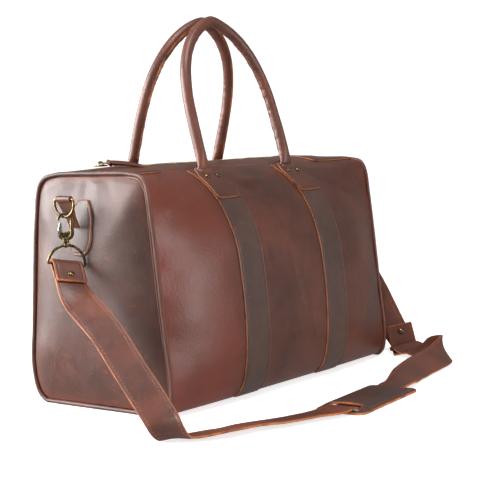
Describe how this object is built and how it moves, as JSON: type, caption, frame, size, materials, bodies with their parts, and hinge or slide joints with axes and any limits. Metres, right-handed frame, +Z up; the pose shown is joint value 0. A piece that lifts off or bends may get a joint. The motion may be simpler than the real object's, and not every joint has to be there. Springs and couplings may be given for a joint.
{
  "type": "duffel bag",
  "caption": "Leather weekender duffel bag with rolled handles, zip top, piped end panels and a clip-on shoulder strap with a pad, lying on the floor in front.",
  "frame": {"origin": "middle of the flat base, on the floor", "axes": "+X along the bag towards the right end, +Y towards the rear, +Z up; the strap lies in front, at -Y"},
  "size_m": [0.6792, 0.4587, 0.5047],
  "materials": {
    "leather": "oiled full-grain leather with pull-up highlights",
    "band_leather": "darker oiled leather with raw edges",
    "strap_leather": "oiled strap leather with raw tan edges",
    "lining_cloth": "plain woven cotton",
    "board": "matt stiffener sheet",
    "rope": "twisted cotton rope",
    "antique_brass": "antique brass, rubbed bright on the edges"
  },
  "bodies": {
    "bag": {"base_board": "board", "body_wrap": "leather", "front_left_band": "band_leather", "front_left_handle_tab": "leather", "front_left_rivet_1": "antique_brass", "front_left_rivet_2": "antique_brass", "front_right_band": "band_leather", "front_right_handle_tab": "leather", "front_right_rivet_1": "antique_brass", "front_right_rivet_2": "antique_brass", "left_chape": "leather", "left_end_lining": "lining_cloth", "left_end_panel": "leather", "left_piping": "leather", "left_ring_loop": "leather", "left_zip_end": "leather", "lining": "lining_cloth", "rear_left_band": "band_leather", "rear_left_handle_tab": "leather", "rear_left_rivet_1": "antique_brass", "rear_left_rivet_2": "antique_brass", "rear_right_band": "band_leather", "rear_right_handle_tab": "leather", "rear_right_rivet_1": "antique_brass", "rear_right_rivet_2": "antique_brass", "right_chape": "leather", "right_end_lining": "lining_cloth", "right_end_panel": "leather", "right_piping": "leather", "right_ring_loop": "leather", "right_zip_end": "leather"},
    "front_handle": {"front_handle_core": "rope", "front_handle_cover": "leather"},
    "rear_handle": {"rear_handle_core": "rope", "rear_handle_cover": "leather"},
    "front_mouth_flap": {"front_zip_facing": "leather", "front_zip_tape": "lining_cloth", "front_zip_teeth": "antique_brass"},
    "rear_mouth_flap": {"rear_zip_facing": "leather", "rear_zip_tape": "lining_cloth", "rear_zip_teeth": "antique_brass"},
    "zip_slider": {"zip_slider": "antique_brass"},
    "zip_pull": {"zip_pull_link": "antique_brass", "zip_pull_tab": "leather"},
    "left_d_ring": {"left_d_ring": "antique_brass"},
    "right_d_ring": {"right_d_ring": "antique_brass"},
    "strap": {"adjuster_ring": "antique_brass", "adjuster_rivet": "antique_brass", "left_strap_ring": "antique_brass", "left_strap_rivet": "antique_brass", "long_strap": "strap_leather", "right_strap_ring": "antique_brass", "right_strap_rivet": "antique_brass", "short_strap": "strap_leather", "shoulder_pad": "strap_leather"},
    "left_hook": {"left_snap_hook": "antique_brass"},
    "right_hook": {"right_snap_hook": "antique_brass"},
    "left_gate": {"left_gate": "antique_brass"},
    "right_gate": {"right_gate": "antique_brass"}
  },
  "joints": [
    {"name": "front_handle_swing", "type": "hinge", "parent": "bag", "child": "front_handle", "pos_m": [0, -0.0622, 0.31], "axis": [1, 0, 0], "range_deg": [0, 135]},
    {"name": "rear_handle_swing", "type": "hinge", "parent": "bag", "child": "rear_handle", "pos_m": [0, 0.0622, 0.31], "axis": [-1, 0, 0], "range_deg": [0, 135]},
    {"name": "front_mouth_flap_lift", "type": "hinge", "parent": "bag", "child": "front_mouth_flap", "pos_m": [0, -0.045, 0.2988], "axis": [1, 0, 0], "range_deg": [0, 60]},
    {"name": "rear_mouth_flap_lift", "type": "hinge", "parent": "bag", "child": "rear_mouth_flap", "pos_m": [0, 0.045, 0.2988], "axis": [-1, 0, 0], "range_deg": [0, 60]},
    {"name": "zip_slide", "type": "slide", "parent": "bag", "child": "zip_slider", "axis": [1, 0, 0], "range_m": [0, 0.425]},
    {"name": "zip_pull_flip", "type": "hinge", "parent": "zip_slider", "child": "zip_pull", "pos_m": [-0.23, 0, 0.311], "axis": [-0.5519, -0.8339, 0], "range_deg": [0, 110]},
    {"name": "strap_swing", "type": "hinge", "parent": "bag", "child": "strap", "pos_m": [0, 0, 0.264], "axis": [-1, 0, 0], "range_deg": [0, 25]},
    {"name": "left_d_ring_tilt", "type": "hinge", "parent": "bag", "child": "left_d_ring", "pos_m": [-0.298, 0, 0.27], "axis": [0, 1, 0], "range_deg": [-2, 2]},
    {"name": "right_d_ring_tilt", "type": "hinge", "parent": "bag", "child": "right_d_ring", "pos_m": [0.298, 0, 0.27], "axis": [0, 1, 0], "range_deg": [-2, 2]},
    {"name": "left_hook_swivel", "type": "hinge", "parent": "strap", "child": "left_hook", "pos_m": [-0.298, 0, 0.22], "axis": [0, 0, 1], "range_deg": [-4, 8]},
    {"name": "right_hook_swivel", "type": "hinge", "parent": "strap", "child": "right_hook", "pos_m": [0.298, 0, 0.22], "axis": [0, 0, 1], "range_deg": [-4, 8]},
    {"name": "left_gate_press", "type": "hinge", "parent": "left_hook", "child": "left_gate", "pos_m": [-0.3038, 0.0058, 0.2285], "axis": [0.7071, 0.7071, 0], "range_deg": [0, 25], "stiffness_Nm_per_rad": 0.01},
    {"name": "right_gate_press", "type": "hinge", "parent": "right_hook", "child": "right_gate", "pos_m": [0.2922, 0.0058, 0.2285], "axis": [0.7071, 0.7071, 0], "range_deg": [0, 25], "stiffness_Nm_per_rad": 0.01}
  ]
}
